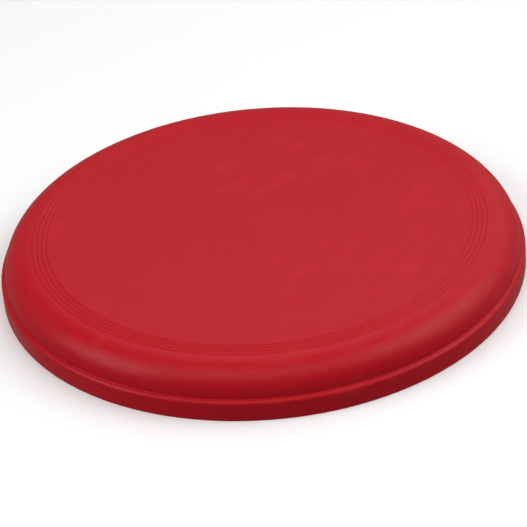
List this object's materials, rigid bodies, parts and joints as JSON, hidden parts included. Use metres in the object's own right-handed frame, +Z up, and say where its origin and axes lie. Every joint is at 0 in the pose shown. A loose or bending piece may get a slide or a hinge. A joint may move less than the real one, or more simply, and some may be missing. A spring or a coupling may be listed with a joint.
{
  "type": "flying disc",
  "caption": "Hollow one-piece plastic flying disc with a flat plate, fine raised rings, a rounded shoulder and a stepped rim band.",
  "frame": {"origin": "centre of the disc, on the plane of the foot that it rests on", "axes": "+Z up along the disc's axis, from the open underside to the plate; X and Y are any two directions across it"},
  "size_m": [0.214, 0.214, 0.0205],
  "materials": {
    "moulded_plastic": "satin"
  },
  "bodies": {
    "root": {"disc": "moulded_plastic"}
  },
  "joints": []
}
